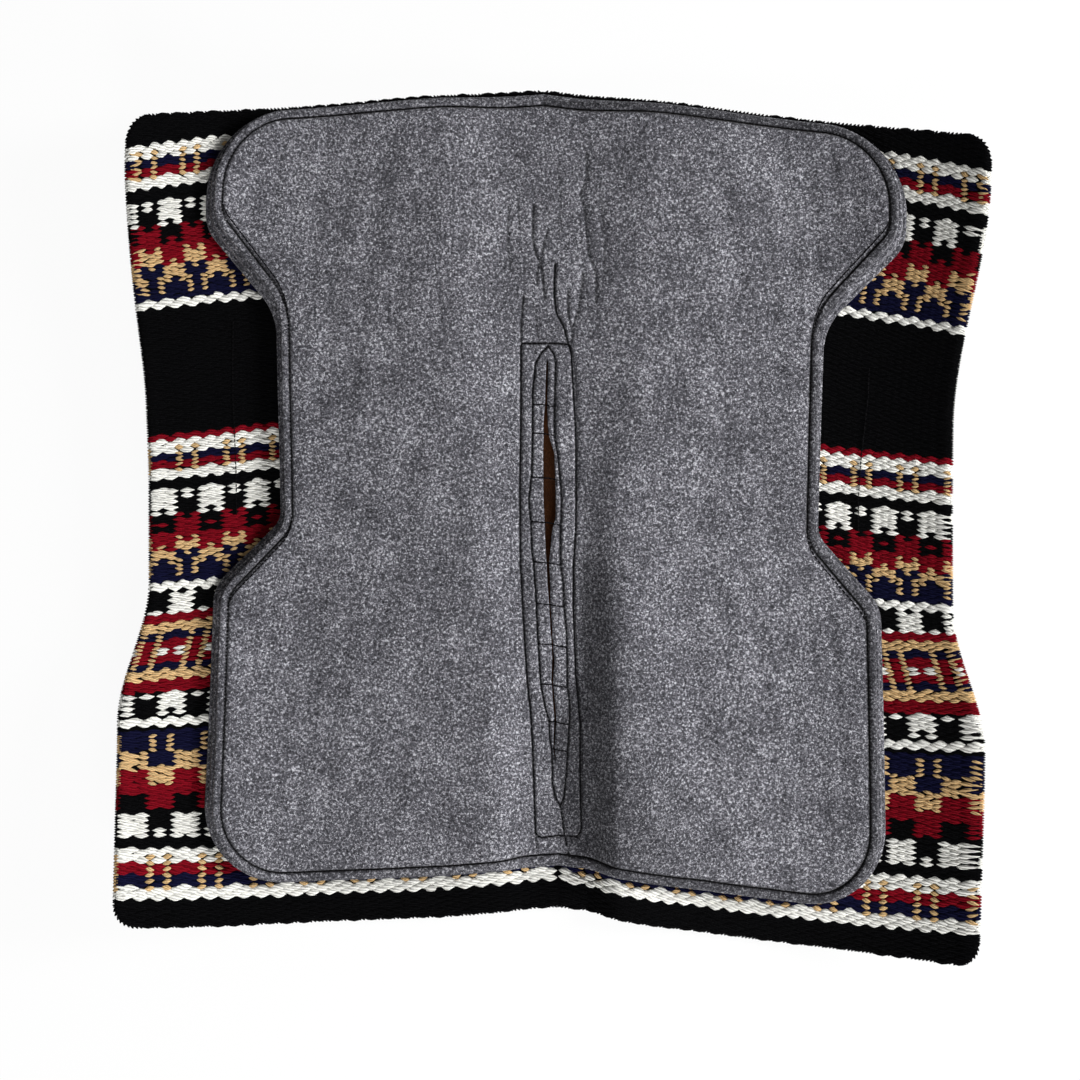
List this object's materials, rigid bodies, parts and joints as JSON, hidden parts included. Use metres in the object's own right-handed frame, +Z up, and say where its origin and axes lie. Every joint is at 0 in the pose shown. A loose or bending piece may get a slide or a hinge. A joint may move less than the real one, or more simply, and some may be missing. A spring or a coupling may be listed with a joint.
{
  "type": "western saddle pad",
  "caption": "Contoured western saddle pad: woven wool blanket with a layered felt liner, slotted along the spine, whose two sides fold down over a horse's back.",
  "frame": {"origin": "middle of the spine, on the underside of the spine leather, which lies on the floor", "axes": "+Z up out of the felt side, +Y along the spine towards the rear end of the pad, +X to the right side as seen from above the felt"},
  "size_m": [0.8404, 0.8529, 0.0814],
  "materials": {
    "woven_wool": "thick woven wool weft in black, cream, deep red, navy and tan stripes with stepped blocks",
    "wool_felt": "pressed heather-grey wool felt, matt",
    "brown_leather": "oiled dark brown top-grain leather, satin"
  },
  "bodies": {
    "spine": {"spine_leather": "brown_leather", "blanket_left_margin": "woven_wool", "blanket_right_margin": "woven_wool", "felt_backing_spine": "wool_felt", "felt_core_spine": "wool_felt", "felt_contact_spine": "wool_felt"},
    "left_side": {"blanket_left": "woven_wool", "felt_backing_left": "wool_felt", "felt_core_left": "wool_felt", "felt_contact_left": "wool_felt", "wear_leather_left": "brown_leather"},
    "right_side": {"blanket_right": "woven_wool", "felt_backing_right": "wool_felt", "felt_core_right": "wool_felt", "felt_contact_right": "wool_felt", "wear_leather_right": "brown_leather"}
  },
  "joints": [
    {"name": "left_fold", "type": "hinge", "parent": "spine", "child": "left_side", "pos_m": [-0.026, 0, 0.02105], "axis": [0, 1, 0], "range_deg": [0, 75]},
    {"name": "right_fold", "type": "hinge", "parent": "spine", "child": "right_side", "pos_m": [0.026, 0, 0.02105], "axis": [0, -1, 0], "range_deg": [0, 75]}
  ]
}
